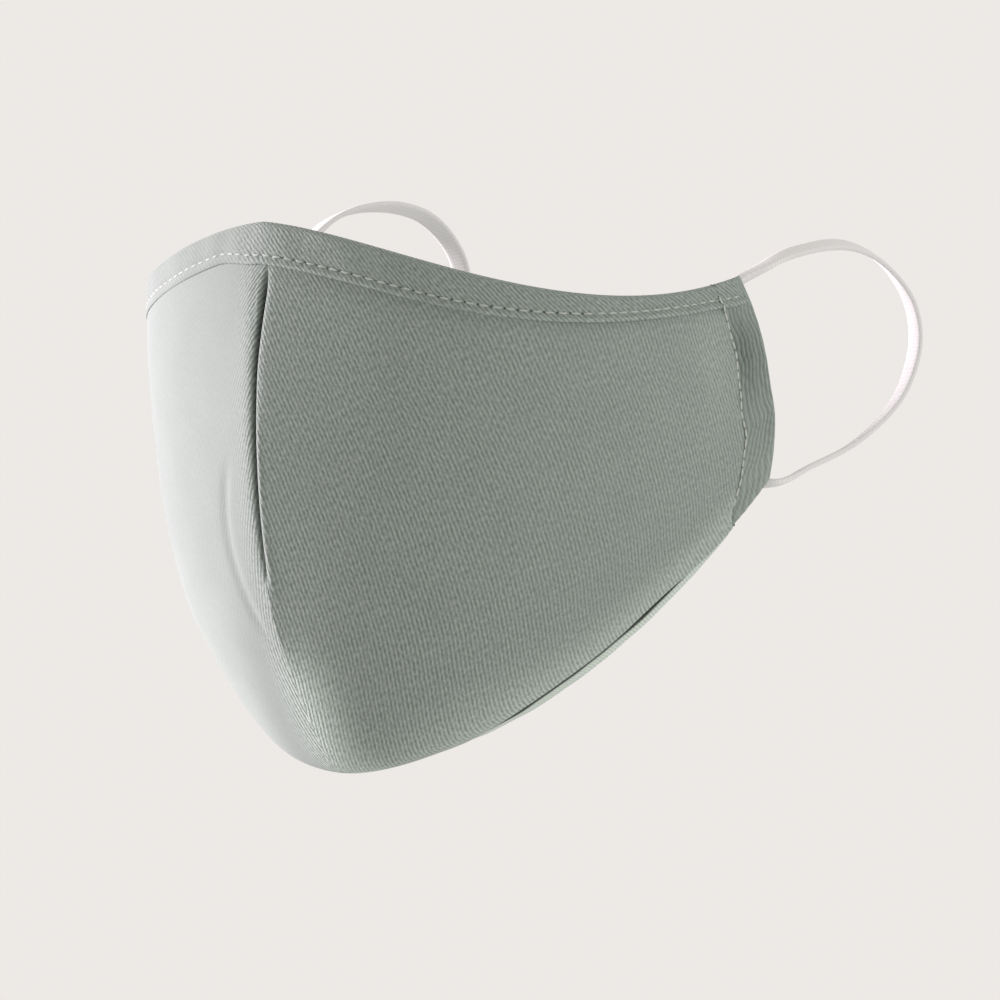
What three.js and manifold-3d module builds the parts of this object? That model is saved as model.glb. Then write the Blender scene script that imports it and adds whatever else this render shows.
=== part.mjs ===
import * as THREE from "three";
import { mergeVertices } from "three/addons/utils/BufferGeometryUtils.js";
import Module from "manifold-3d";

// A sewn cotton face mask in the form it has on a face. The origin is where it sits on the nose:
// the front looks along -Y, the ears lie towards +Y and +Z is up. Lengths are in millimetres.

// Overall form
const halfWidth = 76; // middle of the face to an ear edge
const earDepth = 104; // nose to the rearmost point of an ear edge
const faceHeight = 135; // nose to chin

// Cloth and the clearances that keep sewn pieces apart
const panelWall = 1.6;
const bindingCloth = 0.7;
const facingCloth = 0.8;
const casingCloth = 0.8;
const sewnGap = 0.3;

// Dart down the middle of the front
const dartSink = 1.3; // how far its seam is pulled in
const dartReach = 3.2; // how far the pull reaches to each side
const dartTip = 88; // top edge to the dart's tip

// Top binding, its outer leg measured down the cloth
const bindingAtNose = 10.6;
const bindingAtCheek = { left: 6.2, right: 8.2 };
const bindingAtEar = 7.4;
const narrowing = { left: [0.3, 0.8], right: [0, 0.12] }; // shares of a half where it narrows
const bindingInside = 7;
const bindingOverlap = 2; // of its folded strip and its single layer
const bindingSkim = 0.06; // by which the single layer is thinner on each face

// Hem
const facingWidth = 9;
const facingShows = 2.2; // the most that the facing hangs below the panel
const facingEnd = 4; // from the end of the facing to the ear casing

// Ear casings and the elastic in them
const loopWidth = 4.8;
const loopThickness = 1.4;
const loopSideRoom = 1.1; // between an edge of the elastic and its channel
const loopFaceRoom = 0.45; // between a face of the elastic and its channel
const seamAtTop = 5; // cloth between the channel and the panel
const seamAtMiddle = 5.6;
const seamAtHem = 1.4;
const mouthSlant = 7; // how much shorter the casing is on its inner side
// Where the elastic turns as it leaves a casing: rise is above the casing's end, inset is in from
// the middle of its channel, rearwards is towards the ear edge and turn is that of loopRoute
const topExit = { rise: -1.2, inset: 1.6, rearwards: 0, turn: 62 };
const lowExit = { rise: -0.4, inset: 0.9, rearwards: 0.4, turn: 62 };
const loopReach = 64; // ear edge to the rear of the loop
const loopDrop = 52; // top exit to bottom exit
const loopLift = { left: 0, right: 10 }; // how much higher the top of the loop stands

const blend = THREE.MathUtils.lerp;
const ease = (share) => THREE.MathUtils.smoothstep(share, 0, 1);
const steps = (count) => Array.from({ length: count + 1 }, (_, i) => i / count);

const channelWidth = loopWidth + 2 * loopSideRoom;
const channelDepth = loopThickness + 2 * loopFaceRoom;
const channelMiddle = casingCloth + channelWidth / 2; // in from the ear edge
const casingDepth = channelDepth + 2 * casingCloth;

// Width of a casing, which narrows towards the hem
function casingWidth(down) {
  const seam = blend(seamAtTop, seamAtMiddle, ease(down / 0.5));
  return casingCloth + channelWidth + blend(seam, seamAtHem, ease((down - 0.45) / 0.55));
}

// The cloth's outer face from the top edge down to the hem. A row is one half of a cross-section,
// a cubic curve from the middle of the face through two pulls to the ear edge. Places are shares
// of halfWidth, earDepth and faceHeight.
const rows = [
  { middle: [0, 0, 0], nosePull: [0.45, 0.02, -0.02],
    cheekPull: [1.16, 0.19, -0.215], ear: [0.98, 0.885, -0.096] },
  { middle: [0, -0.025, -0.2], nosePull: [0.42, 0.058, -0.207],
    cheekPull: [1.184, 0.159, -0.311], ear: [0.993, 0.926, -0.159] },
  { middle: [0, -0.032, -0.407], nosePull: [0.408, 0.067, -0.407],
    cheekPull: [1.158, 0.178, -0.444], ear: [1, 0.957, -0.226] },
  { middle: [0, 0.002, -0.607], nosePull: [0.395, 0.082, -0.6],
    cheekPull: [1.092, 0.197, -0.593], ear: [1, 0.977, -0.289] },
  { middle: [0, 0.091, -0.804], nosePull: [0.382, 0.135, -0.793],
    cheekPull: [0.974, 0.25, -0.748], ear: [1, 0.994, -0.348] },
  { middle: [0, 0.264, -0.993], nosePull: [0.329, 0.279, -0.97],
    cheekPull: [0.763, 0.385, -0.889], ear: [0.993, 0.996, -0.407] },
  { middle: [0, 0.481, -0.956], nosePull: [0.342, 0.471, -0.978],
    cheekPull: [0.882, 0.596, -0.807], ear: [0.987, 0.986, -0.462] },
];

// The free stretch of an ear loop, from its top exit to its bottom exit. Places are shares of
// loopReach behind the ear edge and of loopDrop above the top exit; lift is the share of loopLift.
// Turn is the angle in degrees between the elastic's width and the X axis.
const loopRoute = [
  { back: 0.14, up: 0.055, lift: 0.8, turn: 25 },
  { back: 0.32, up: 0.113, lift: 1, turn: 28 },
  { back: 0.61, up: 0.141, lift: 1, turn: 30 },
  { back: 0.82, up: 0.05, lift: 1.1, turn: 24 },
  { back: 0.97, up: -0.13, lift: 1.1, turn: 14 },
  { back: 1, up: -0.32, lift: 0.8, turn: 6 },
  { back: 0.91, up: -0.56, lift: 0.4, turn: 0 },
  { back: 0.67, up: -0.775, lift: 0.1, turn: 0 },
  { back: 0.39, up: -0.9, lift: 0, turn: 5 },
  { back: 0.19, up: -0.975, lift: 0, turn: 12 },
];

// Mesh fineness
const panelColumns = 52;
const panelRows = 22;
const bindingStations = 44;
const facingStations = 40;
const casingStations = 12;
const casingSides = 16;
const loopStations = 76;

// The cloth as a surface: side runs from -1 at the right ear edge through 0 at the middle of the
// face to 1 at the left ear edge, down from 0 at the top edge to 1 at the hem.
const lines = ["middle", "nosePull", "cheekPull", "ear"].map((key) => {
  const places = rows.map((row) => {
    const [x, y, z] = row[key];
    return new THREE.Vector3(x * halfWidth, y * earDepth, z * faceHeight);
  });
  return new THREE.CatmullRomCurve3(places, false, "catmullrom");
});

const sections = new Map();

function section(down) {
  const key = down.toFixed(6);
  if (!sections.has(key)) {
    const curve = new THREE.CubicBezierCurve3(...lines.map((line) => line.getPoint(down)));
    curve.arcLengthDivisions = 60;
    sections.set(key, curve);
  }
  return sections.get(key);
}

function surface(side, down) {
  const place = section(down).getPointAt(Math.min(Math.abs(side), 1));
  if (side < 0) place.x = -place.x;
  return place;
}

function outward(side, down) {
  const step = 0.004;
  const left = surface(Math.min(side + step, 1), down);
  const right = surface(Math.max(side - step, -1), down);
  const below = surface(side, Math.min(down + step, 1));
  const above = surface(side, Math.max(down - step, 0));
  return below.sub(above).cross(left.sub(right)).normalize();
}

// Distances on the cloth as shares: across it from the middle of the face, square to the ear edge,
// and along it from the top edge or from the hem
const across = (distance, down) => distance / section(down).getLength();

function fromEar(distance, down) {
  const probe = 0.02;
  const edge = surface(1, Math.min(down + probe, 1)).sub(surface(1, Math.max(down - probe, 0)));
  const inwards = surface(1 - probe, down).sub(surface(1, down)).divideScalar(probe);
  return 1 - distance / inwards.cross(edge.normalize()).length();
}

function belowTop(distance, side) {
  const probe = 0.05;
  return (distance * probe) / surface(side, 0).distanceTo(surface(side, probe));
}

function aboveHem(distance, side) {
  const probe = 0.05;
  return 1 - (distance * probe) / surface(side, 1).distanceTo(surface(side, 1 - probe));
}

// How far the dart pulls the cloth in, from under the binding down to its tip
const dartStart = belowTop(bindingAtNose, 0);
const dartEnd = belowTop(dartTip, 0);

function dartDepth(side, down) {
  const along = (down - dartStart) / (dartEnd - dartStart);
  if (along <= 0 || along >= 1) return 0;
  const away = (Math.abs(side) * section(down).getLength()) / dartReach;
  return dartSink * Math.min(1, 12 * along) * Math.sqrt(1 - along ** 4) * Math.exp(-away * away);
}

// A place on the cloth, moved out from its outer face
function cloth(side, down, out) {
  const place = surface(side, down);
  return place.addScaledVector(outward(side, down), out - dartDepth(side, down));
}

// A closed body from rings of places. Each ring holds one outline, first along one face and then
// back along the other, so an open row of rings is capped by joining opposite places.
function skin(rings, closed = false) {
  const size = rings[0].length;
  const positions = rings.flat().flatMap((place) => place.toArray());
  const faces = [];
  const quad = (a, b, c, d) => faces.push(a, b, c, a, c, d);
  const count = closed ? rings.length : rings.length - 1;
  for (let k = 0; k < count; k++) {
    const here = k * size;
    const next = ((k + 1) % rings.length) * size;
    for (let i = 0; i < size; i++) {
      const j = (i + 1) % size;
      quad(here + i, here + j, next + j, next + i);
    }
  }
  if (!closed) {
    const last = (rings.length - 1) * size;
    for (let i = 0; i < size / 2 - 1; i++) {
      const far = size - 1 - i;
      quad(i, far, far - 1, i + 1);
      quad(last + i, last + i + 1, last + far - 1, last + far);
    }
  }
  const geometry = new THREE.BufferGeometry();
  geometry.setAttribute("position", new THREE.Float32BufferAttribute(positions, 3));
  geometry.setIndex(volume(positions, faces) < 0 ? faces.reverse() : faces);
  geometry.computeVertexNormals();
  return geometry;
}

function volume(positions, faces) {
  const corner = (i) => new THREE.Vector3().fromArray(positions, 3 * faces[i]);
  let sum = 0;
  for (let i = 0; i < faces.length; i += 3) {
    sum += corner(i).dot(corner(i + 1).cross(corner(i + 2))) / 6;
  }
  return sum;
}

// Materials
const twill = new THREE.MeshStandardMaterial({ color: "#8b938a", roughness: 0.9, metalness: 0 });
const facingCotton = new THREE.MeshStandardMaterial({ color: "#a9aea6", roughness: 0.92, metalness: 0 });
const elastic = new THREE.MeshStandardMaterial({ color: "#f2efed", roughness: 0.75, metalness: 0 });

const mask = new THREE.Group();

function add(name, geometry, material) {
  const mesh = new THREE.Mesh(geometry, material.clone());
  mesh.name = name;
  mask.add(mesh);
}

// How much of the facing shows below the panel's hem, most under the cheek
function facingShown(share) {
  const swell = Math.sin(Math.PI * THREE.MathUtils.smoothstep(Math.abs(share), 0.12, 1.02));
  return sewnGap + (facingShows - sewnGap) * swell;
}

// Panel: columns lie closer together over the dart
function panelShares() {
  const half = panelColumns / 2;
  const dartShares = [0.35, 0.8, 1.4, 2.1].map((reach) => across(reach * dartReach, 0.3));
  const first = dartShares[dartShares.length - 1];
  const rest = steps(half - dartShares.length).slice(1).map((share) => blend(first, 1, share));
  const right = [...dartShares, ...rest];
  return [...right.map((share) => -share).reverse(), 0, ...right];
}

function panel() {
  const rings = panelShares().map((share) => {
    const top = belowTop(bindingCloth + sewnGap, share);
    const hem = aboveHem(facingShown(share), share);
    const places = steps(panelRows).map((part) => {
      const down = blend(top, hem, part);
      const edge = fromEar(casingWidth(down), down);
      return [share * edge, down];
    });
    const outer = places.map(([side, down]) => cloth(side, down, 0));
    const inner = places.map(([side, down]) => cloth(side, down, -panelWall));
    return [...outer, ...inner.reverse()];
  });
  return skin(rings);
}

// Binding: a strip folded over the top edge, and a single layer over each casing
function bindingLeg(side) {
  const share = Math.abs(side);
  const half = side > 0 ? "left" : "right";
  const [from, to] = narrowing[half];
  const cheek = blend(bindingAtNose, bindingAtCheek[half], ease((share - from) / (to - from)));
  return blend(cheek, bindingAtEar, ease((share - 0.86) / 0.14));
}

function binding() {
  const innerFace = -panelWall - sewnGap;
  const fold = bindingCloth + sewnGap;
  const edge = fromEar(casingWidth(0) + sewnGap, 0);
  const middle = (fold + innerFace - bindingCloth) / 2;
  const half = fold - middle;
  const rings = steps(bindingStations).map((share) => {
    const side = blend(-edge, edge, share);
    const leg = bindingLeg(side);
    const outline = [
      [fold, leg],
      [fold, leg / 2],
      [fold, fold],
      [middle + 0.7 * half, 0.25 * fold],
      [middle, 0],
      [middle - 0.7 * half, 0.25 * fold],
      [innerFace - bindingCloth, fold],
      [innerFace - bindingCloth, bindingInside],
      [innerFace, bindingInside],
      [innerFace, fold],
      [middle - 0.5 * half, fold - 0.35],
      [middle, fold - 0.3],
      [middle + 0.5 * half, fold - 0.35],
      [sewnGap, fold],
      [sewnGap, leg / 2],
      [sewnGap, leg],
    ];
    return outline.map(([out, distance]) => cloth(side, belowTop(distance, side), out));
  });
  return skin(rings);
}

// The single layer of binding over a casing, joined to the folded strip
function bindingEnd(hand) {
  const start = fromEar(casingWidth(0) + bindingOverlap, 0);
  const end = fromEar(casingCloth, 0);
  const rings = steps(4).map((share) => {
    const side = blend(start, end, share);
    const leg = bindingLeg(side);
    const outer = sewnGap + bindingCloth - bindingSkim;
    const inner = sewnGap + bindingSkim;
    const outline = [
      [outer, leg], [outer, leg / 2], [outer, 0],
      [inner, 0], [inner, leg / 2], [inner, leg],
    ];
    return outline.map(([out, distance]) => cloth(hand * side, belowTop(distance, side), out));
  });
  return skin(rings);
}

// Facing: a narrow band inside the hem
function facing() {
  const outerFace = -panelWall - sewnGap;
  const edge = fromEar(casingWidth(1) + facingEnd, 1);
  const rings = steps(facingStations).map((share) => {
    const side = blend(-edge, edge, share);
    const top = aboveHem(facingWidth, side);
    const places = steps(3).map((part) => blend(top, 1, part));
    const outer = places.map((down) => cloth(side, down, outerFace));
    const inner = places.map((down) => cloth(side, down, outerFace - facingCloth));
    return [...outer, ...inner.reverse()];
  });
  return skin(rings);
}

// Casing: a flat tube along the ear edge, thin where it meets the panel
function casing(hand) {
  const bend = (value) => Math.sign(value) * Math.abs(value) ** 0.45;
  const angles = steps(casingSides).slice(1).map((share) => 2 * Math.PI * share);
  const outside = angles.map((angle) => {
    const reach = bend(Math.cos(angle));
    const depth = blend(casingDepth, panelWall, ease((reach - 0.75) / 0.25));
    const width = (down) => (reach < 0 ? channelMiddle : casingWidth(down) - sewnGap - channelMiddle);
    return [(down) => channelMiddle + reach * width(down), ((bend(Math.sin(angle)) - 1) * depth) / 2];
  });
  const channel = angles.map((angle) => [
    () => channelMiddle + bend(Math.cos(angle)) * channelWidth / 2,
    (bend(Math.sin(angle)) * channelDepth - casingDepth) / 2,
  ]);
  const ring = (outline, part) => {
    return outline.map(([inwards, out]) => {
      const slant = mouthSlant * Math.sqrt(-out / casingDepth);
      const down = blend(belowTop(slant, 1), aboveHem(slant, 1), part);
      return cloth(hand * fromEar(inwards(down), down), down, out);
    });
  };
  const parts = steps(casingStations);
  const outer = parts.map((part) => ring(outside, part));
  const inner = parts.map((part) => ring(channel, part));
  return skin([...outer, ...inner.reverse()], true);
}

// Ear loop: up through the casing, out at its top, round the ear and back in at the bottom. Each
// stop has a place and either the way that the elastic's width lies or its turn from the X axis.
function loopStops(hand, lift) {
  const mirror = new THREE.Vector3(hand, 1, 1);
  const inCasing = (down, inwards, inset) => {
    return cloth(fromEar(inwards, down), down, -casingDepth / 2 - inset);
  };
  const rear = surface(1, 0);
  const channel = steps(6).map((part) => {
    const down = blend(0.93, 0.08, part);
    const wide = inCasing(down, channelMiddle - 1, 0).sub(inCasing(down, channelMiddle + 1, 0));
    return { place: inCasing(down, channelMiddle, 0), wide: wide.normalize().multiply(mirror) };
  });
  const exit = (down, { rise, inset, rearwards, turn }) => {
    const place = inCasing(down, channelMiddle - rearwards, inset);
    return { place: place.add(new THREE.Vector3(0, 0, rise)), turn: hand * turn };
  };
  const free = loopRoute.map(({ back, up, lift: share, turn }) => {
    const y = rear.y + back * loopReach;
    const z = rear.z + up * loopDrop + share * lift;
    return { place: new THREE.Vector3(rear.x, y, z), turn: hand * turn };
  });
  const stops = [...channel, exit(0, topExit), ...free, exit(1, lowExit)];
  stops.forEach(({ place }) => place.multiply(mirror));
  return stops;
}

// The way that the elastic's width lies where it runs along a direction
function wideAt(along, turn, hand) {
  const sideways = new THREE.Vector3(hand, 0, 0);
  const flat = sideways.addScaledVector(along, -along.x).normalize();
  return flat.applyAxisAngle(along, THREE.MathUtils.degToRad(turn));
}

function loop(hand, lift) {
  const stops = loopStops(hand, lift);
  const route = new THREE.CatmullRomCurve3(stops.map(({ place }) => place), true, "centripetal");
  const wides = stops.map(({ wide, turn }, i) => {
    return wide ?? wideAt(route.getTangent(i / stops.length), turn, hand);
  });
  const corner = loopThickness * 0.3;
  const [w, t] = [loopWidth / 2, loopThickness / 2];
  const outline = [
    [w, corner - t], [w, t - corner], [w - corner, t], [corner - w, t],
    [-w, t - corner], [-w, corner - t], [corner - w, -t], [w - corner, -t],
  ];
  const rings = steps(loopStations).slice(1).map((share) => {
    const place = share * stops.length;
    const from = wides[Math.floor(place) % stops.length];
    const to = wides[Math.ceil(place) % stops.length];
    const along = route.getTangent(share);
    const wide = from.clone().lerp(to, ease(place % 1));
    wide.addScaledVector(along, -along.dot(wide)).normalize();
    const thick = along.clone().cross(wide);
    const middle = route.getPoint(share);
    return outline.map(([a, b]) => middle.clone().addScaledVector(wide, a).addScaledVector(thick, b));
  });
  return skin(rings, true);
}

// Joins two closed bodies that share a stretch
const wasm = await Module();
wasm.setup();

function solid(geometry) {
  const bare = geometry.clone();
  bare.deleteAttribute("normal");
  const merged = mergeVertices(bare, 1e-4);
  const vertProperties = merged.attributes.position.array;
  const triVerts = new Uint32Array(merged.index.array);
  return new wasm.Manifold(new wasm.Mesh({ numProp: 3, vertProperties, triVerts }));
}

function joined(geometries) {
  const { vertProperties, triVerts } = geometries.map(solid).reduce((a, b) => a.add(b)).getMesh();
  const geometry = new THREE.BufferGeometry();
  geometry.setAttribute("position", new THREE.BufferAttribute(vertProperties, 3));
  geometry.setIndex(new THREE.BufferAttribute(triVerts, 1));
  geometry.computeVertexNormals();
  return geometry;
}

add("mask_panel", panel(), twill);
add("top_binding", joined([binding(), bindingEnd(1), bindingEnd(-1)]), twill);
add("lower_facing", facing(), facingCotton);
add("ear_casing_left", casing(1), twill);
add("ear_casing_right", casing(-1), twill);
add("ear_loop_left", loop(1, loopLift.left), elastic);
add("ear_loop_right", loop(-1, loopLift.right), elastic);

export default mask;
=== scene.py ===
import math
import bmesh
import bpy
import numpy as np
from mathutils import Matrix, Vector


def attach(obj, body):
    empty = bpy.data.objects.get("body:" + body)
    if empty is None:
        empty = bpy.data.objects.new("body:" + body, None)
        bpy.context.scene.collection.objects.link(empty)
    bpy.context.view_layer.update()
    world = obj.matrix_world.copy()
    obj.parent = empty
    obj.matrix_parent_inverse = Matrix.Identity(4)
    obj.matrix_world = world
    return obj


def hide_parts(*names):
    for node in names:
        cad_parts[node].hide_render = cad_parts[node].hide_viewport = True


# A sewn sage green cotton face mask in the form it has on a face, seen level from its left front.
# Sizes are in millimetres until a mesh is written, x to the left ear, y back to the ears, z up.

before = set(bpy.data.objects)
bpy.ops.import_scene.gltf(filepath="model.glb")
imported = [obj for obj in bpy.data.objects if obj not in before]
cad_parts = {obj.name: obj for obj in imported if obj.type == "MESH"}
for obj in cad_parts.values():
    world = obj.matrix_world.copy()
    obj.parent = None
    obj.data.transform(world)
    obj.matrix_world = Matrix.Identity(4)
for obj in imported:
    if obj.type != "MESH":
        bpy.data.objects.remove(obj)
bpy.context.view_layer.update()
print("stage: frame loaded")

# Camera: the photograph's angle, far off with a long lens so that near and far keep one scale

viewpoint = {
    "azimuth": 42,
    "pixelsPerMm": 4.1,
    "nosePixel": (262, 222),
    "frameSize": 1000,
    "lens": 1400,
    "sensor": 36,
    "scaleDepth": -30,  # how far behind the nose the scale is exact
}

turn = math.radians(viewpoint["azimuth"])
cameraRight = Vector((math.cos(turn), math.sin(turn), 0))
cameraBack = Vector((math.sin(turn), -math.cos(turn), 0))
up = Vector((0, 0, 1))


def placeCamera(look):
    half = look["frameSize"] / 2
    sideways = (half - look["nosePixel"][0]) / look["pixelsPerMm"]
    upwards = (look["nosePixel"][1] - half) / look["pixelsPerMm"]
    distance = look["frameSize"] / look["pixelsPerMm"] * look["lens"] / look["sensor"]
    back = distance + look["scaleDepth"]
    camera = bpy.data.cameras.new("camera")
    camera.lens = look["lens"]
    camera.sensor_width = look["sensor"]
    camera.clip_start = 0.5
    camera.clip_end = 60
    holder = bpy.data.objects.new("camera", camera)
    bpy.context.scene.collection.objects.link(holder)
    holder.location = (cameraRight * sideways + up * upwards + cameraBack * back) / 1000
    holder.rotation_euler = (math.pi / 2, 0, turn)
    bpy.context.scene.camera = holder


placeCamera(viewpoint)

# The cloth as a surface. A row is half a cross-section: a cubic curve from the middle of the face
# through two pulls to the ear edge, in shares of the half width, the ear depth and the face height.

form = {
    "halfWidth": 76,
    "earDepth": 104,
    "faceHeight": 135,
    "slope": 140,  # from the top edge to the hem, down the cloth
    "wall": 1.6,
    "sewnGap": 0.3,
    "rows": [
        # middle, nose pull, cheek pull, ear edge
        [(0, 0, 0), (0.45, 0.02, -0.02), (1.16, 0.19, -0.215), (0.98, 0.885, -0.096)],
        [(0, -0.025, -0.2), (0.42, 0.058, -0.207), (1.184, 0.159, -0.311), (0.993, 0.926, -0.159)],
        [(0, -0.032, -0.407), (0.408, 0.067, -0.407), (1.158, 0.178, -0.444), (1, 0.957, -0.226)],
        [(0, 0.002, -0.607), (0.395, 0.082, -0.6), (1.092, 0.197, -0.593), (1, 0.977, -0.289)],
        [(0, 0.091, -0.804), (0.382, 0.135, -0.793), (0.974, 0.25, -0.748), (1, 0.994, -0.348)],
        [(0, 0.264, -0.993), (0.329, 0.279, -0.97), (0.763, 0.385, -0.889), (0.993, 0.996, -0.407)],
        [(0, 0.481, -0.956), (0.342, 0.471, -0.978), (0.882, 0.596, -0.807), (0.987, 0.986, -0.462)],
    ],
}

rowPlaces = np.array(form["rows"], float)
rowPlaces *= (form["halfWidth"], form["earDepth"], form["faceHeight"])
rowPlaces = np.concatenate(
    [[2 * rowPlaces[0] - rowPlaces[1]], rowPlaces, [2 * rowPlaces[-1] - rowPlaces[-2]]]
)


def ease(low, high, value):
    share = np.clip((np.asarray(value, float) - low) / (high - low), 0, 1)
    return share * share * (3 - 2 * share)


def hill(value, middle, reach):
    return np.exp(-(((value - middle) / reach) ** 2))


def between(value, low, high, later, end):
    # rises from low to high and falls again from later to end
    return ease(low, high, value) * (1 - ease(later, end, value))


def curveAt(down):
    spans = len(rowPlaces) - 3
    place = np.clip(down, 0, 1) * spans
    first = np.minimum(place.astype(int), spans - 1)
    part = (place - first)[..., None, None]
    before, start, end, after = (rowPlaces[first + i] for i in range(4))
    leave, arrive = (end - before) / 2, (after - start) / 2
    square = 3 * (end - start) - 2 * leave - arrive
    cube = 2 * (start - end) + leave + arrive
    return start + part * (leave + part * (square + part * cube))


def onCurve(curve, step):
    rest = 1 - step
    weights = np.stack([rest**3, 3 * step * rest**2, 3 * step**2 * rest, step**3], -1)
    return np.einsum("...i,...ij->...j", weights, curve)


tableDowns = np.linspace(0, 1, 201)
tableShares = np.linspace(0, 1, 161)
fineSteps = np.linspace(0, 1, 401)
stepTable, lengthTable = [], []
for oneDown in tableDowns:
    line = onCurve(curveAt(np.array([oneDown])), fineSteps)
    run = np.concatenate([[0], np.cumsum(np.linalg.norm(np.diff(line, axis=0), axis=1))])
    stepTable.append(np.interp(tableShares * run[-1], run, fineSteps))
    lengthTable.append(run[-1])
stepTable = np.array(stepTable)


def halfLength(down):
    return np.interp(down, tableDowns, lengthTable)


def surfaceAt(side, down):
    side, down = np.broadcast_arrays(np.asarray(side, float), np.asarray(down, float))
    place = onCurve(curveAt(down), lookUp(stepTable, side, down))
    place[..., 0] *= np.where(side < 0, -1, 1)
    return place


def outwardAt(side, down):
    step = 0.004
    wide = step + 0.03 * hill(side, 0, 0.07)  # turns softly from one half to the other
    left = surfaceAt(np.minimum(side + wide, 1), down)
    right = surfaceAt(np.maximum(side - wide, -1), down)
    below = surfaceAt(side, np.minimum(down + step, 1))
    above = surfaceAt(side, np.maximum(down - step, 0))
    facing = np.cross(below - above, left - right)
    return facing / np.linalg.norm(facing, axis=-1, keepdims=True)


def fromEar(distance, down):
    probe = 0.02
    edge = surfaceAt(1, np.minimum(down + probe, 1)) - surfaceAt(1, np.maximum(down - probe, 0))
    edge /= np.linalg.norm(edge, axis=-1, keepdims=True)
    inwards = (surfaceAt(1 - probe, down) - surfaceAt(1, down)) / probe
    return 1 - distance / np.linalg.norm(np.cross(inwards, edge), axis=-1)


def belowTop(distance, side):
    probe = 0.05
    return distance * probe / np.linalg.norm(surfaceAt(side, 0) - surfaceAt(side, probe), axis=-1)


def aboveHem(distance, side):
    probe = 0.05
    run = np.linalg.norm(surfaceAt(side, 1) - surfaceAt(side, 1 - probe), axis=-1)
    return 1 - distance * probe / run


def flatTables():
    # where each place of a half lies on the cloth before it was bent: the level distance, measured
    # forwards from the ear edge, and the distance down the slope
    shares, downs = np.meshgrid(tableShares, tableDowns)
    places = surfaceAt(shares, downs)
    steps = np.diff(places[..., :2], axis=1, prepend=places[:, :1, :2])
    across = np.cumsum(np.linalg.norm(steps, axis=-1), axis=1)
    rear = places[:, -1, 1]
    across += across[:1, -1:] - across[:, -1:] + (rear - rear[0])[:, None]
    slopes = np.sum(np.diff(places, axis=0) ** 2, axis=-1) - np.diff(across, axis=0) ** 2
    along = np.zeros(shares.shape)
    along[1:] = np.cumsum(np.sqrt(np.maximum(slopes, 0)), axis=0)
    return across, along - places[:1, :, 2]


def lookUp(table, side, down):
    row = np.clip(down, 0, 1) * (len(tableDowns) - 1)
    column = np.clip(np.abs(side), 0, 1) * (len(tableShares) - 1)
    i = np.minimum(row.astype(int), len(tableDowns) - 2)
    j = np.minimum(column.astype(int), len(tableShares) - 2)
    a, b = row - i, column - j
    low = (1 - b) * table[i, j] + b * table[i, j + 1]
    return (1 - a) * low + a * ((1 - b) * table[i + 1, j] + b * table[i + 1, j + 1])


# The dart down the middle, from under the binding to its tip

dart = {
    "sink": 0.5, "reach": 2.4, "tip": 88, "start": 10.6,
    "creaseSink": 1.9, "creaseLeft": 0.75, "creaseRight": 0.45,  # its sewn line, a sharp narrow fold
    "leanAtTop": 2.8,  # how far to the left half its top end stands
    "roundAbove": 4, "roundBelow": 6,  # radii of the ridge where no dart holds it sharp
}


def dartShare(down):
    start, end = belowTop(dart["start"], 0.0), belowTop(dart["tip"], 0.0)
    along = np.clip((down - start) / (end - start), 0, 1)
    return np.minimum(1, 12 * along) * np.sqrt(1 - along**4)


def dartDepth(side, down):
    away = np.abs(side) * halfLength(down) / dart["reach"]
    return dart["sink"] * dartShare(down) * np.exp(-away * away)


def dartLine(down):
    return dart["leanAtTop"] * (1 - ease(0.04, 0.24, down))


def ridgeRounding(side, down):
    # how far the cloth stays inside the two halves' ridge, above and below the dart
    across = np.abs(side) * halfLength(down)
    reach = dart["roundBelow"] * ease(0.6, 0.75, down) + dart["roundAbove"] * (1 - ease(0.05, 0.12, down))
    curve = curveAt(np.asarray(down, float))
    pull = curve[..., 1, :] - curve[..., 0, :]
    inwards = -np.sum(pull * outwardAt(np.zeros_like(across), down), axis=-1)
    return inwards / pull[..., 0] * (np.sqrt(across**2 + reach**2) - across)


acrossTable, alongTable = flatTables()


def flatPlace(side, down):
    side, down = np.broadcast_arrays(np.asarray(side, float), np.asarray(down, float))
    return lookUp(acrossTable, side, down), lookUp(alongTable, side, down)


def clothAt(side, down, out):
    side, down, out = np.broadcast_arrays(*(np.asarray(v, float) for v in (side, down, out)))
    out = out - dartDepth(side, down) - ridgeRounding(side, down)
    return surfaceAt(side, down) + outwardAt(side, down) * out[..., None]


def ripple(a, b, seed):
    # soft irregular waves, from a few sines that never line up
    total = 0
    for k in range(1, 5):
        phase = seed * 1.7 * k + 0.9 * k * k
        total = total + np.sin(a * (0.7 + 0.53 * k) + b * (0.9 - 0.31 * k) + phase) / k
    return total / 2


# Meshes: a grid of squares is made flat, then moved onto the cloth. The pattern's place in mm is
# kept in the uv map, a tone of painted light and shade from 0, black, through 0.5, plain, to 1, pale,
# in one attribute, and how strongly the weave shows in another.


def gridPiece(name, columns, rows, shape, closed=False, smooth=True):
    mesh = bmesh.new()
    layer = mesh.loops.layers.uv.new("cloth")
    tone = mesh.verts.layers.float.new("tone")
    grain = mesh.verts.layers.float.new("grain")
    bmesh.ops.create_grid(mesh, x_segments=columns, y_segments=rows, size=0.5)
    mesh.verts.ensure_lookup_table()
    flat = np.array([vert.co for vert in mesh.verts]) + 0.5
    places, pattern, tones, grains = shape(flat[:, 0], flat[:, 1])
    places = places / 1000
    tones, grains = (np.broadcast_to(v, len(places)) for v in (tones, grains))
    for vert, place, value, strength in zip(mesh.verts, places, tones, grains):
        vert.co = place
        vert[tone] = value
        vert[grain] = strength
    for face in mesh.faces:
        face.smooth = smooth
        for corner in face.loops:
            corner[layer].uv = pattern[corner.vert.index] / 1000
    if closed:
        bmesh.ops.remove_doubles(mesh, verts=mesh.verts, dist=1e-6)
    return finished(name, mesh)


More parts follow.
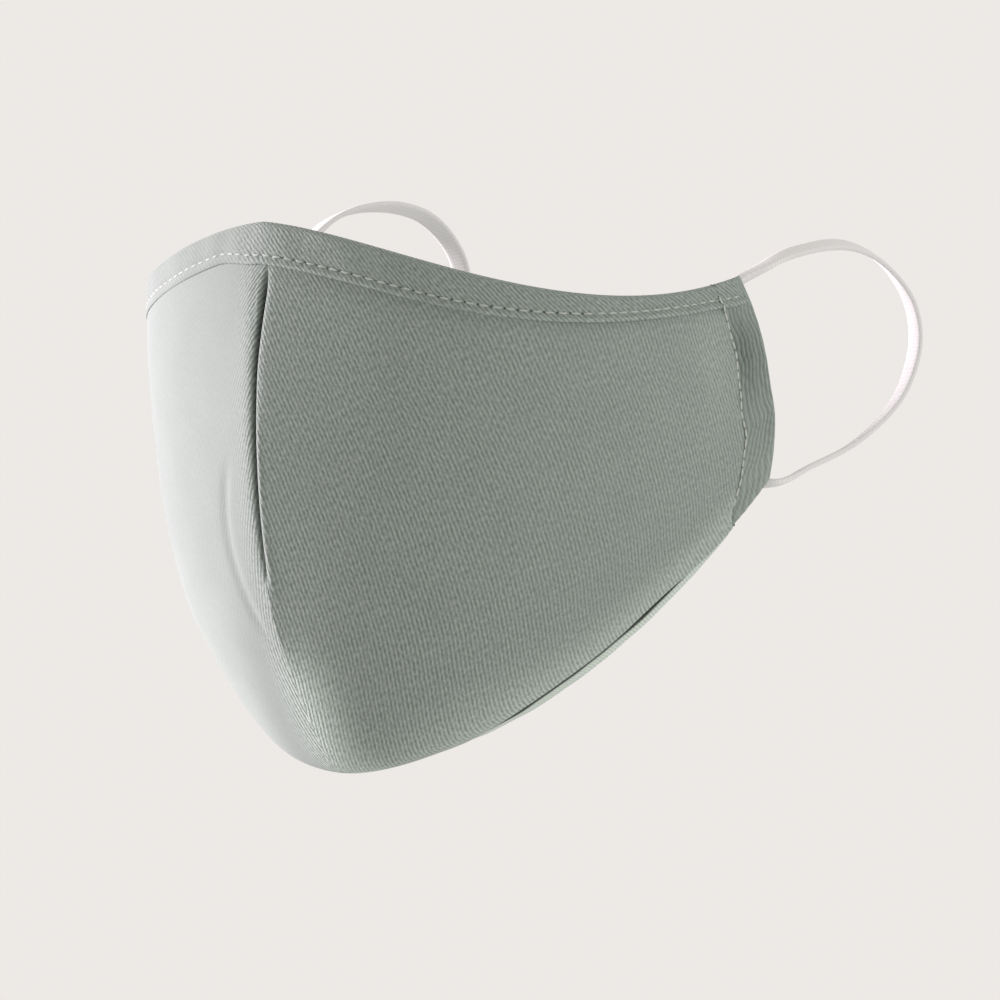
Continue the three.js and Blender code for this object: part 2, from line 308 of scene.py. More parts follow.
def finished(name, mesh):
    data = bpy.data.meshes.new(name)
    mesh.to_mesh(data)
    mesh.free()
    piece = bpy.data.objects.new(name, data)
    bpy.context.scene.collection.objects.link(piece)
    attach(piece, "root")
    return piece


def faceOut(piece, centre):
    # turns the faces round if they look towards the hollow of the mask
    mesh = bmesh.new()
    mesh.from_mesh(piece.data)
    inward = sum(
        (face.calc_center_median() - centre).dot(face.normal) * face.calc_area() for face in mesh.faces
    )
    if inward < 0:
        bmesh.ops.reverse_faces(mesh, faces=mesh.faces)
        mesh.to_mesh(piece.data)
    mesh.free()


def thicken(piece, thickness):
    wall = piece.modifiers.new("wall", "SOLIDIFY")
    wall.thickness = thickness / 1000
    wall.offset = -1
    wall.use_even_offset = False


# Materials


def colour(text):
    parts = [int(text[i : i + 2], 16) / 255 for i in (1, 3, 5)]
    return [p / 12.92 if p <= 0.04045 else ((p + 0.055) / 1.055) ** 2.4 for p in parts] + [1]


def addNode(material, kind, settings=None, inputs=None):
    made = material.node_tree.nodes.new(kind)
    for key, value in (settings or {}).items():
        setattr(made, key, value)
    for key, value in (inputs or {}).items():
        if isinstance(value, bpy.types.NodeSocket):
            material.node_tree.links.new(value, made.inputs[key])
        else:
            made.inputs[key].default_value = value
    return made


def newMaterial(name):
    material = bpy.data.materials.new(name)
    material.use_nodes = True
    material.node_tree.nodes.clear()
    return material


def finishMaterial(material, colourSocket, roughness, bumpSocket, sheen):
    shader = addNode(material, "ShaderNodeBsdfPrincipled", None, {
        "Base Color": colourSocket,
        "Roughness": roughness,
        "Sheen Weight": sheen,
        "Sheen Roughness": 0.6,
        "Specular IOR Level": 0.2,
        "Normal": bumpSocket,
    })
    addNode(material, "ShaderNodeOutputMaterial", None, {"Surface": shader.outputs[0]})
    return material


def wovenCotton(name, look):
    # cotton twill: matt, with slanting ribs, slubs where a yarn is thicker and a soft fibre bloom
    material = newMaterial(name)
    place = addNode(material, "ShaderNodeUVMap", {"uv_map": "cloth"})
    patch = addNode(material, "ShaderNodeTexNoise", None, {
        "Vector": place.outputs[0], "Scale": 1000 / look["patchMm"], "Detail": 3,
    })
    ribs = addNode(material, "ShaderNodeTexWave", {"bands_direction": "X"}, {
        "Vector": place.outputs[0],
        "Scale": math.pi / 10 * 1000 / look["ribMm"],
        "Distortion": look["waver"],
        "Detail": 2,
        "Detail Scale": look["ribMm"] / look["waverMm"],
    })
    stretched = addNode(material, "ShaderNodeMapping", None, {
        "Vector": place.outputs[0], "Scale": (1, look["ribMm"] / look["floatMm"], 1),
    })
    slubs = addNode(material, "ShaderNodeTexNoise", None, {
        "Vector": stretched.outputs[0], "Scale": 1600 / look["ribMm"], "Detail": 4,
    })
    yarn = addNode(material, "ShaderNodeMath", {"operation": "MULTIPLY_ADD"}, {
        0: ribs.outputs["Fac"], 1: look["ribShare"], 2: slubs.outputs["Fac"],
    })
    shown = addNode(material, "ShaderNodeMapRange", None, {
        "Value": yarn.outputs[0], "From Min": look["yarnLow"], "From Max": look["yarnHigh"],
    })
    grain = addNode(material, "ShaderNodeAttribute", {"attribute_name": "grain"})
    level = addNode(material, "ShaderNodeMix", {"data_type": "FLOAT"}, {
        0: grain.outputs["Fac"], 2: 0.5, 3: shown.outputs[0],
    })
    woven = addNode(material, "ShaderNodeMix", {"data_type": "RGBA"}, {
        0: level.outputs[0], 6: colour(look["dark"]), 7: colour(look["pale"]),
    })
    # the tone attribute: painted light and shade, scaled by how much of it this cloth shows
    lightShadeInput = addNode(material, "ShaderNodeAttribute", {"attribute_name": "tone"})
    tone = addNode(material, "ShaderNodeMapRange", {"clamp": False}, {
        "Value": lightShadeInput.outputs["Fac"], "To Min": 0.5 - look["paintedLightShade"] / 2, "To Max": 0.5 + look["paintedLightShade"] / 2,
    })
    cloud = addNode(material, "ShaderNodeMapRange", {"clamp": False}, {
        "Value": patch.outputs["Fac"], "To Min": 2 - look["cloud"], "To Max": 2 + look["cloud"],
    })
    brightness = addNode(material, "ShaderNodeMath", {"operation": "MULTIPLY"}, {
        0: cloud.outputs[0], 1: tone.outputs[0],
    })
    toned = addNode(material, "ShaderNodeVectorMath", {"operation": "SCALE"}, {
        0: woven.outputs[2], "Scale": brightness.outputs[0],
    })
    bump = addNode(material, "ShaderNodeBump", None, {
        "Height": level.outputs[0], "Strength": look["bump"], "Distance": look["reliefMm"] / 1000,
    })
    return finishMaterial(material, toned.outputs[0], 0.92, bump.outputs[0], look["bloom"])


twillLook = {
    "dark": "#6a736e", "pale": "#98a19b", "ribMm": 1.06, "waver": 1.8, "waverMm": 3, "floatMm": 1.8,
    "ribShare": 0.32, "yarnLow": 0.4, "yarnHigh": 0.92,
    "patchMm": 12, "cloud": 0.12, "bump": 0.7, "reliefMm": 0.2, "bloom": 0.05, "paintedLightShade": 1,
}
facingLook = {
    "dark": "#8e9790", "pale": "#abb3ab", "ribMm": 0.9, "waver": 1, "waverMm": 3, "floatMm": 2,
    "ribShare": 0.4, "yarnLow": 0.35, "yarnHigh": 1.0,
    "patchMm": 10, "cloud": 0.1, "bump": 0.5, "reliefMm": 0.12, "bloom": 0.05, "paintedLightShade": 1,
}
liningLook = {  # the inner side: the same yarn, without the painted light and shade
    "dark": "#818a84", "pale": "#979f99", "ribMm": 0.7, "waver": 1, "waverMm": 3, "floatMm": 1.4,
    "ribShare": 0.3, "yarnLow": 0.35, "yarnHigh": 1.0,
    "patchMm": 12, "cloud": 0.1, "bump": 0.5, "reliefMm": 0.12, "bloom": 0.05, "paintedLightShade": 0,
}
sageTwill = wovenCotton("sageCottonTwill", twillLook)
paleCotton = wovenCotton("palePlainCotton", facingLook)
sageLining = wovenCotton("sagePlainLining", liningLook)


def knittedElastic(look):
    # braided elastic: white, faintly ribbed along its length, a little soft and not shiny
    material = newMaterial("whiteBraidedElastic")
    place = addNode(material, "ShaderNodeUVMap", {"uv_map": "cloth"})
    ribs = addNode(material, "ShaderNodeTexWave", {"bands_direction": "X"}, {
        "Vector": place.outputs[0], "Scale": math.pi / 10 * 1000 / look["ribMm"], "Distortion": 0.4,
    })
    picks = addNode(material, "ShaderNodeTexWave", {"bands_direction": "Y"}, {
        "Vector": place.outputs[0], "Scale": math.pi / 10 * 1000 / look["pickMm"], "Distortion": 0.6,
    })
    knit = addNode(material, "ShaderNodeMath", {"operation": "MULTIPLY"}, {
        0: ribs.outputs["Fac"], 1: picks.outputs["Fac"],
    })
    tint = addNode(material, "ShaderNodeMix", {"data_type": "RGBA"}, {
        0: knit.outputs[0], 6: colour(look["dark"]), 7: colour(look["pale"]),
    })
    bump = addNode(material, "ShaderNodeBump", None, {
        "Height": knit.outputs[0], "Strength": 0.5, "Distance": look["reliefMm"] / 1000,
    })
    return finishMaterial(material, tint.outputs[2], 0.7, bump.outputs[0], 0.2)


elasticLook = {"ribMm": 0.8, "pickMm": 0.9, "reliefMm": 0.008, "dark": "#cdcdcc", "pale": "#d9dad8"}
whiteElastic = knittedElastic(elasticLook)


def spunThread(name, tint):
    # sewing cotton: two plies twisted, slightly glossy against the cloth
    material = newMaterial(name)
    place = addNode(material, "ShaderNodeTexCoord")
    fuzz = addNode(material, "ShaderNodeTexNoise", None, {
        "Vector": place.outputs["Object"], "Scale": 2500, "Detail": 2,
    })
    shade = addNode(material, "ShaderNodeMix", {"data_type": "RGBA"}, {
        0: fuzz.outputs["Fac"], 6: colour(tint[0]), 7: colour(tint[1]),
    })
    bump = addNode(material, "ShaderNodeBump", None, {
        "Height": fuzz.outputs["Fac"], "Strength": 0.4, "Distance": 0.0001,
    })
    return finishMaterial(material, shade.outputs[2], 0.75, bump.outputs[0], 0.15)


paleThread = spunThread("paleSewingCotton", ("#989f99", "#b6bcb5"))
# dark spindles of painted shade in the needle holes
holeShade = spunThread("needleHoleShade", ("#3c433d", "#4a514b"))

# Casings' shape, used by the panel beside them too

casingLook = {
    "cloth": 0.8,
    "elasticWidth": 4.8,
    "elasticThickness": 1.4,
    "sideRoom": 1.1,
    "faceRoom": 0.45,
    "seamAtTop": 5,
    "seamAtMiddle": 5.6,
    "seamAtHem": 1.4,
    "mouthSlant": 7,  # how much shorter it is on its inner side
    "hemInset": 0.7,
    "height": 62,
    "halfWidth": 6,
    "corner": 0.45,  # from 0, square, to 1, round
    "around": 96,
    "along": 120,
    "wrinkle": 0.36,
    "wrinkleMm": 1.55,
    # painted shade: a darker patch high on the casing, and darker valleys between its wrinkles
    "shade": 0.15,
    "valleyShade": 0.28,
    "grain": 0.3,
}
channelWidth = casingLook["elasticWidth"] + 2 * casingLook["sideRoom"]
channelMiddle = casingLook["cloth"] + channelWidth / 2
channelDepth = casingLook["elasticThickness"] + 2 * casingLook["faceRoom"]
casingDepth = channelDepth + 2 * casingLook["cloth"]


def casingWidth(down):
    top, middle, hem = casingLook["seamAtTop"], casingLook["seamAtMiddle"], casingLook["seamAtHem"]
    seam = top + (middle - top) * ease(0, 0.5, down)
    seam = seam + (hem - seam) * ease(0.45, 1, down)
    return casingLook["cloth"] + channelWidth + seam


# Top binding: how far down the cloth its outer leg reaches

bindingLook = {
    "cloth": 0.7,
    "proud": (0.22, 0.55),  # how far it stands off the panel, on the right half and on the left
    "atNose": 10.6,
    "atCheek": {"left": 6.2, "right": 8.2},
    "atEar": 7.4,
    "narrowing": {"left": (0.3, 0.8), "right": (0, 0.12)},
    "inside": 7,
    "outerShare": 0.5,  # the share of its rows on the outer leg
    "innerFrom": 0.7,  # and from where they are on the inner leg
    "endInset": 1.5,  # how far short of the ear edge it stops
    "columns": 300,
    "rows": 40,
    "endColumns": 16,
    "seamUp": 2.4,  # the topstitch above the lower fold
    "pitch": 3.3,
    "groove": 0.2,
    "pinch": 0.22,  # how much deeper the groove is under each stitch
    "slant": (0.72, 0.69),
}


def bindingLeg(side):
    share = np.abs(side)
    legs = []
    for half in ("left", "right"):
        low, high = bindingLook["narrowing"][half]
        cheek = bindingLook["atCheek"][half] - bindingLook["atNose"]
        legs.append(bindingLook["atNose"] + cheek * ease(low, high, share))
    leg = np.where(side > 0, legs[0], legs[1])
    return leg + (bindingLook["atEar"] - leg) * ease(0.86, 1, share)


# Panel: the main cloth. Its relief is in mm, and its painted light and shade are how much paler or darker a
# place is.

panelLook = {
    "columns": 280,
    "rows": 158,
    "topTuck": 1.0,
    "cornerTuck": 1.6,  # keeps its top corners under the binding
    "fineColumns": 0.28,
    "fineShare": 0.052,  # more of the columns lie over the dart
    "slant": (0.9, 0.436),  # the twill's ribs lean 64 degrees from level
    "lean": 12,  # and more at the top, where the cloth is cut across its grain
    "leanFade": 26,
    "seamGap": 0.05,
    "seamGroove": 0.15,
    "puckers": 0.3,
    "waves": 0.2,
    "hemRoll": 0.3,
    "pressed": 0.5,  # under the binding
    "crease": {"depth": 0.5, "bow": -15, "middle": 72, "half": 34, "reach": 1.6},
    "roll": {"height": 0.3, "off": 1.7, "reach": 0.9},
    "paintedLightShade": {
        # painted light and shade, by where it falls on the panel
        "dart": -0.38, "hem": 0.26, "ear": 0.03, "seam": 0.04, "chin": 0.34, "strip": -0.06,
        "right": 0.03, "rightLow": 0.06,
    },
    "litWeaveWashout": 0.85,  # how much less the weave shows on the right half: painted light, washed out where the key light falls
    "plainEar": 0.22,
    # how many mm of the facing show below its hem, where and how far along
    "facingShows": {"cheek": (7.5, 0.33, 0.24), "jaw": (1.6, 0.75, 0.15)},
}


def facingShown(side):
    share = np.abs(side)
    shows = panelLook["facingShows"].values()
    return form["sewnGap"] + sum(most * hill(share, at, reach) for most, at, reach in shows)


def twillPattern(across, along, slant):
    return np.stack([slant[0] * across - slant[1] * along, slant[1] * across + slant[0] * along], -1)


def belowBinding(side, down):
    return (down - belowTop(bindingLeg(side), side)) * form["slope"]


def panelRelief(side, down, toSeam, toHem):
    look = panelLook
    across, along = side * halfLength(down), flatPlace(side, down)[1]
    offLine = across - dartLine(down)
    creaseReach = np.where(offLine < 0, dart["creaseLeft"], dart["creaseRight"])
    relief = -dart["creaseSink"] * dartShare(down) * np.exp(-np.abs(offLine) / creaseReach)
    relief = relief - look["seamGroove"] * hill(toSeam, 0, 0.9)
    puckers = ripple(along * 0.45, toSeam * 0.25, 3) * np.exp(-toSeam / 9) * ease(0, 1.5, toSeam)
    relief = relief + look["puckers"] * puckers
    relief = relief + look["waves"] * ripple(across * 0.06, along * 0.08, 1) * ease(0, 20, np.abs(across))
    relief = relief + look["hemRoll"] * (hill(toHem, 0, 4) - hill(toHem, 0, 0.5))
    relief = relief - look["pressed"] * (1 - ease(-2, -0.5, belowBinding(side, down)))
    crease, roll = look["crease"], look["roll"]
    creaseAt = crease["bow"] * (1 - ((along - crease["middle"]) / crease["half"]) ** 2)
    creased = hill(across, creaseAt, crease["reach"]) * between(along, 55, 66, 94, 103)
    rolled = hill(offLine, roll["off"], roll["reach"]) * between(along, 40, 60, 84, 96)
    return relief - crease["depth"] * creased + roll["height"] * rolled


def panelLightAndShade(side, down, toSeam, toHem):
    paintedLightShade = panelLook["paintedLightShade"]
    across = side * halfLength(down)
    # painted shade in the dart's sewn crease
    tones = 0.5 + paintedLightShade["dart"] * dartShare(down) * hill(across - dartLine(down), -0.35, 0.75)
    # painted light from below: paler along the hem, mostly on the left half
    tones = tones + paintedLightShade["hem"] * (1 - ease(4, 32, toHem)) * ease(-8, 10, across)
    # painted light from the fill: paler towards the ear, and beside the casing seam high up
    tones = tones + paintedLightShade["ear"] * ease(80, 135, across)
    tones = tones + paintedLightShade["seam"] * hill(toSeam, 9, 6) * hill(down, 0.3, 0.2)
    # painted light: paler down the middle below the dart, where the key light reaches round the rounded
    # ridge
    tones = tones + paintedLightShade["chin"] * hill(across, 2, 8) * ease(0.6, 0.72, down)
    # painted light: the key-lit right half paler, more so low down
    right = paintedLightShade["right"] + paintedLightShade["rightLow"] * ease(0.45, 0.7, down)
    tones = tones + right * (1 - ease(-24, -8, across))
    # painted shade under the binding's lower edge, on the left half
    return tones + paintedLightShade["strip"] * hill(belowBinding(side, down), 0, 3.5) * ease(-2, 8, across)


def panelPattern(side, down):
    level, along = flatPlace(side, down)
    across = side * halfLength(down)
    level = level + np.abs(across - dartLine(down)) - np.abs(across)
    level = level - panelLook["lean"] * (1 - np.exp(-along / panelLook["leanFade"]))
    return twillPattern(level, along, panelLook["slant"])


def panelShape(u, v):
    x = 2 * u - 1
    fine = np.interp(np.abs(x), (0, panelLook["fineColumns"], 1), (0, panelLook["fineShare"], 1))
    share = np.sign(x) * fine
    tuck = panelLook["topTuck"] + panelLook["cornerTuck"] * ease(0.955, 0.99, np.abs(share))
    down = belowTop(tuck, share)
    down = down + (aboveHem(facingShown(share), share) - down) * (1 - v)
    side = share * fromEar(casingWidth(down) + panelLook["seamGap"], down)
    across = side * halfLength(down)
    toSeam = (1 - np.abs(share)) * halfLength(down)
    toHem = (1 - down) * form["slope"] - facingShown(share)
    # painted light: the weave fades on the key-lit right half
    grains = 1 - panelLook["litWeaveWashout"] * (1 - ease(-10, 1, across))
    grains = grains - panelLook["plainEar"] * ease(25, 90, across)
    place = clothAt(side, down, panelRelief(side, down, toSeam, toHem))
    return place, panelPattern(side, down), panelLightAndShade(side, down, toSeam, toHem), grains


panel = gridPiece("clothPanel", panelLook["columns"], panelLook["rows"], panelShape)
headMiddle = Vector((0, 0.06, -0.06))  # in the hollow, in metres
faceOut(panel, headMiddle)
thicken(panel, form["wall"])
panel.data.materials.append(sageTwill)
panel.data.materials.append(sageLining)
panel.modifiers["wall"].material_offset = 1
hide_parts("mask_panel")
print("stage: panel made")

# Ear casings: flat tubes, open at both mouths, wrinkled along their length where the elastic pulls


def squared(value, power):
    return np.sign(value) * np.abs(value) ** power


def evenAngles(width, depth, power):
    angles = np.linspace(0, 2 * np.pi, 40001)
    x, y = width * squared(np.cos(angles), power), depth * squared(np.sin(angles), power)
    run = np.concatenate([[0], np.cumsum(np.hypot(np.diff(x), np.diff(y)))])
    return run / run[-1], angles


casingRun = evenAngles(casingLook["halfWidth"], casingDepth / 2, casingLook["corner"])


def casingShape(hand):
    outerCloth = casingLook["cloth"] + 0.1

    def shape(u, v):
        angles = np.interp(u, *casingRun)
        reach, rise = (squared(part, casingLook["corner"]) for part in (np.cos(angles), np.sin(angles)))
        depth = casingDepth + (form["wall"] - casingDepth) * ease(0.75, 1, reach)
        out = (rise - 1) * depth / 2
        inner = np.sqrt(np.maximum(-out - outerCloth, 0) / (casingDepth - outerCloth))
        slant = casingLook["mouthSlant"] * inner
        top = belowTop(slant, 1)
        down = top + (aboveHem(slant + casingLook["hemInset"], 1) - top) * (1 - v)
        beyond = casingWidth(down) - 0.1 - channelMiddle
        inwards = channelMiddle + reach * np.where(reach < 0, channelMiddle, beyond)
        front = ease(-0.2, 0.6, rise)
        toSeam = casingWidth(down) - inwards
        along = down * casingLook["height"]
        wander = 1.4 * np.sin(along * 0.34 + hand) + 0.9 * np.sin(along * 0.81 + 2)
        wander = wander + 1.1 * ripple(along * 0.5, inwards * 0.3, 5)
        folds = np.sin(2 * np.pi * inwards / casingLook["wrinkleMm"] + wander)
        strength = 0.35 + 0.65 * hill(down, 0.35, 0.22) + 0.25 * hill(down, 0.7, 0.15)
        relief = casingLook["wrinkle"] * folds * strength * ease(0.6, 2.2, toSeam) * ease(0, 2, inwards)
        relief = relief - 0.15 * hill(toSeam, 0, 1.1)
        dents = ripple(along * 0.25, inwards * 0.2, 8) * ease(1, 4, toSeam) * ease(0, 4, inwards)
        relief = relief + 0.25 * dents
        # painted shade in a patch high on the casing and in the wrinkles' valleys; painted light: the front
        # paler, more so towards the hem
        paintedValleyShade = casingLook["valleyShade"] * ((1 - folds) / 2) ** 2 * strength
        tones = 0.5 - casingLook["shade"] * hill(down, 0.3, 0.17) * hill(inwards, 9, 4) * front
        tones = tones + (0.07 - paintedValleyShade + 0.05 * ease(0.6, 1, down)) * front
        side = hand * fromEar(inwards, down)
        place = clothAt(side, down, out + relief * front)
        pattern = twillPattern(*flatPlace(side, down), panelLook["slant"])
        return place, pattern, tones, casingLook["grain"]

    return shape


for sideName, hand in (("Left", 1), ("Right", -1)):
    shape = casingShape(hand)
    casing = gridPiece("earCasing" + sideName, casingLook["around"], casingLook["along"], shape, closed=True)
    casingMiddle = sum((vert.co for vert in casing.data.vertices), Vector()) / len(casing.data.vertices)
    faceOut(casing, casingMiddle)
    thicken(casing, casingLook["cloth"])
    casing.data.materials.append(sageTwill)
    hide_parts("ear_casing_" + sideName.lower())
print("stage: casings made")

# Top binding: a folded strip over the top edge, a single layer where it covers the casings


def nearHalf(side):
    # from 0 to 1 over the nose: the right half's cloth is pressed flatter, the binding's painted fold light
    # and shade show only on the left half, and the weave on the right is washed out as painted light
    return ease(-0.1, 0.01, side)


def bindingProud(side):
    low, high = bindingLook["proud"]
    return low + (high - low) * nearHalf(side)


def bindingRelief(side, up):
    across = side * halfLength(0.05)
    beat = 0.5 + 0.5 * np.cos(2 * np.pi * across / bindingLook["pitch"])
    deep = bindingLook["groove"] + bindingLook["pinch"] * beat
    groove = hill(up, bindingLook["seamUp"], 0.8) * deep * (0.4 + 0.6 * nearHalf(side))
    roll = (bindingProud(side) - 0.1) * (1 - ease(0, 0.7, up))
    return 0.18 * ripple(across * 0.25, up * 0.5, 2) * ease(0.5, 2, up) - groove - roll


def bindingPattern(side, up, leg):
    across = side * halfLength(0.05)
    return twillPattern(across, leg - up, bindingLook["slant"])


def bindingFoldLightShade(side, up):
    # painted highlight along the rounded lower fold and painted shade just above it, on the left half only
    return 0.5 + (0.09 * hill(up, 0.5, 0.45) - 0.05 * hill(up, 1.6, 0.6)) * nearHalf(side)


def bindingWeaveLitWashout(side):
    # painted light: the weave washed out on the key-lit right half
    return 0.25 + 0.75 * nearHalf(side)


def foldedShape(u, v):
    side = (2 * u - 1) * fromEar(casingWidth(0.0) + 0.1, 0.0)
    leg = bindingLeg(side)
    proud = bindingProud(side)
    outer, inner = bindingLook["outerShare"], bindingLook["innerFrom"]
    depth = -form["wall"] - form["sewnGap"] - bindingLook["cloth"]
    middle, half = (proud + depth) / 2, (proud - depth) / 2
    turnRound = np.pi * np.clip((v - outer) / (inner - outer), 0, 1)
    low = leg + (proud - leg) * np.clip(v / outer, 0, 1)
    back = proud + (bindingLook["inside"] - proud) * np.clip((v - inner) / (1 - inner), 0, 1)
    distance = np.where(v < outer, low, np.where(v > inner, back, proud * (1 - np.sin(turnRound))))
    out = np.where(v < outer, proud, np.where(v > inner, depth, middle + half * np.cos(turnRound)))
    relief = np.where(v < outer, bindingRelief(side, leg - distance), 0)
    place = clothAt(side, belowTop(distance, side), out + relief)
    run = np.where(v < outer, leg - distance, leg + (v - outer) * 20)
    return place, bindingPattern(side, run, leg), bindingFoldLightShade(side, run), bindingWeaveLitWashout(side)


def endShape(hand):
    def shape(u, v):
        start, end = fromEar(casingWidth(0.0) + 0.1, 0.0), fromEar(bindingLook["endInset"], 0.0)
        side = hand * (start + (end - start) * u)
        leg = bindingLeg(side)
        distance = leg * (1 - v)
        relief = bindingRelief(side, leg - distance)
        proud = bindingProud(side) * (1 - 0.8 * ease(0.5, 1, u))
        place = clothAt(side, belowTop(distance, side), proud + relief)
        up = leg - distance
        return place, bindingPattern(side, up, leg), bindingFoldLightShade(side, up), bindingWeaveLitWashout(side)

    return shape


binding = gridPiece("topBinding", bindingLook["columns"], bindingLook["rows"], foldedShape)
faceOut(binding, headMiddle)
bindingEnds = [
    gridPiece("bindingEnd" + sideName, bindingLook["endColumns"], bindingLook["rows"] // 2, endShape(hand))
    for sideName, hand in (("Left", 1), ("Right", -1))
]
for piece in [binding, *bindingEnds]:
    if piece != binding:
        faceOut(piece, headMiddle)
    thicken(piece, bindingLook["cloth"])
    piece.data.materials.append(sageTwill)
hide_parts("top_binding")
print("stage: binding made")

# Hem facing: a paler band inside the lower edge

facingForm = {
    "width": 11,
    "cloth": 0.8,
    "end": 0.8,
    "step": 1.7,  # how far it comes out beyond the panel's hem
    "columns": 220,
    "rows": 40,
}


def facingShape(u, v):
    side = (2 * u - 1) * fromEar(casingWidth(1.0) + facingForm["end"], 1.0)
    top = aboveHem(facingForm["width"], side)
    down = 1 + (top - 1) * v
    across = side * halfLength(1.0)
    edge = aboveHem(facingShown(side), side)
    belowHem = (down - edge) / (1 - edge)
    out = -form["wall"] - form["sewnGap"] + facingForm["step"] * ease(0.05, 0.35, belowHem)
    relief = 0.12 * ripple(across * 0.3, v * 3, 6)
    # paler than plain, with a painted shadow in a line just below the panel's hem
    tones = 0.75 - 0.67 * ease(-0.5, 0, belowHem) * (1 - ease(0.32, 0.54, belowHem))
    return clothAt(side, down, out + relief), np.stack([across, down * form["slope"]], -1), tones, 1


facing = gridPiece("hemFacing", facingForm["columns"], facingForm["rows"], facingShape)
faceOut(facing, headMiddle)
thicken(facing, facingForm["cloth"])
facing.data.materials.append(paleCotton)
facing.data.materials.append(sageLining)
facing.modifiers["wall"].material_offset = 1
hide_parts("lower_facing")
print("stage: facing made")

# Ear loops: flat elastic that runs through the casing, out at its top, round the ear and back in

loopLook = {
    "reach": 64,
    "drop": 52,
    "lift": {"Left": 0, "Right": 10},
    "topExit": {"rise": -4.2, "inset": 1.7, "rearwards": 0, "turn": 45},
    "lowExit": {"rise": 4.2, "inset": 1.7, "rearwards": 1.2, "turn": 62},
    "route": [
        # back, up, share of the lift, turn of the elastic's width from the x axis
        (0.14, 0.045, 0.8, 8),
        (0.32, 0.113, 1, 18),
        (0.61, 0.141, 1, 27),
        (0.82, 0.05, 1.1, 24),
        (0.97, -0.13, 1.1, 14),
        (1, -0.32, 0.8, 10),
        (0.91, -0.56, 0.4, 14),
        (0.67, -0.775, 0.1, 20),
        (0.39, -0.9, 0, 20),
        (0.19, -0.975, 0, 12),
    ],
    "inCasing": (0.8, 0.19),  # the shares of the ear edge between which it lies flat in the casing
    "casingStops": 7,
    "squeeze": 0.45,  # the share of its width that it loses where it's gathered at the mouths
    "thicker": 0.5,  # and the share that its thickness gains there
    "corner": 0.55,
    "around": 28,
    "along": 420,
}


def unit(vectors):
    return vectors / np.linalg.norm(vectors, axis=-1, keepdims=True)


def loopStops(hand, lift):
    def inCasing(down, inwards, inset):
        return clothAt(fromEar(inwards, down), down, -casingDepth / 2 - inset)

    mirror = np.array([hand, 1, 1])
    rear = surfaceAt(1.0, 0.0)
    stops = []
    for down in np.linspace(*loopLook["inCasing"], loopLook["casingStops"]):
        wide = unit(inCasing(down, channelMiddle - 1, 0) - inCasing(down, channelMiddle + 1, 0))
        stops.append((inCasing(down, channelMiddle, 0) * mirror, wide * mirror, None))

    def mouth(down, look):
        place = inCasing(down, channelMiddle - look["rearwards"], look["inset"]) + (0, 0, look["rise"])
        return place * mirror, None, hand * look["turn"]

    stops.append(mouth(0.0, loopLook["topExit"]))
    for back, rise, share, angle in loopLook["route"]:
        place = rear + (0, back * loopLook["reach"], rise * loopLook["drop"] + share * lift)
        stops.append((place * mirror, None, hand * angle))
    stops.append(mouth(1.0, loopLook["lowExit"]))
    return stops


def closedRoute(places):
    # a smooth closed line through the stops, looser where they lie close together
    count = len(places)

    def at(share):
        place = np.mod(share, 1) * count
        first = np.minimum(place.astype(int), count - 1)
        part = (place - first)[:, None]
        a, b, c, d = (places[(first + i) % count] for i in (-1, 0, 1, 2))
        ab, bc, cd = (np.linalg.norm(q - p, axis=1)[:, None] ** 0.5 for p, q in ((a, b), (b, c), (c, d)))
        leave = ((b - a) / ab - (c - a) / (ab + bc) + (c - b) / bc) * bc
        arrive = ((c - b) / bc - (d - b) / (bc + cd) + (d - c) / cd) * bc
        square = 3 * (c - b) - 2 * leave - arrive
        cube = 2 * (b - c) + leave + arrive
        return b + part * (leave + part * (square + part * cube))

    return at


def loopShape(hand, lift):
    stops = loopStops(hand, lift)
    count = len(stops)
    route = closedRoute(np.array([stop[0] for stop in stops]))

    def tangent(share):
        return unit(route(share + 1e-4) - route(share - 1e-4))

    wides = []
    for i, (place, wide, angle) in enumerate(stops):
        if wide is None:
            along = Vector(tangent(np.array([i / count]))[0])
            flat = Vector((hand, 0, 0))
            flat = (flat - along * along.dot(flat)).normalized()
            wide = Matrix.Rotation(math.radians(angle), 3, along) @ flat
        wides.append(wide)
    wides = np.array(wides)
    length = np.linalg.norm(np.diff(route(np.linspace(0, 1, 400)), axis=0), axis=1).sum()
    mouths = (loopLook["casingStops"] + 0.3, count - 1.3)

    def shape(u, v):
        place = np.mod(v, 1) * count
        first = np.minimum(place.astype(int), count - 1)
        part = ease(0, 1, place - first)[:, None]
        along = tangent(v)
        wide = wides[first] * (1 - part) + wides[(first + 1) % count] * part
        wide = unit(wide - along * np.sum(along * wide, axis=1)[:, None])
        thick = np.cross(along, wide)
        gathered = sum(hill(place, mouth, 0.8) for mouth in mouths)
        halfWide = casingLook["elasticWidth"] / 2 * (1 - loopLook["squeeze"] * gathered)
        halfThick = casingLook["elasticThickness"] / 2 * (1 + loopLook["thicker"] * gathered)
        a = halfWide * squared(np.cos(2 * np.pi * u), loopLook["corner"])
        b = halfThick * squared(np.sin(2 * np.pi * u), loopLook["corner"])
        pattern = np.stack([a, v * length], -1)
        return route(v) + wide * a[:, None] + thick * b[:, None], pattern, 0.5, 1

    return shape


for sideName, hand in (("Left", 1), ("Right", -1)):
    shape = loopShape(hand, loopLook["lift"][sideName])
    loop = gridPiece("earLoop" + sideName, loopLook["around"], loopLook["along"], shape, closed=True)
    mesh = bmesh.new()
    mesh.from_mesh(loop.data)
    bmesh.ops.recalc_face_normals(mesh, faces=mesh.faces)
    mesh.to_mesh(loop.data)
    mesh.free()
    loop.data.materials.append(whiteElastic)
    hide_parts("ear_loop_" + sideName.lower())
print("stage: ear loops made")

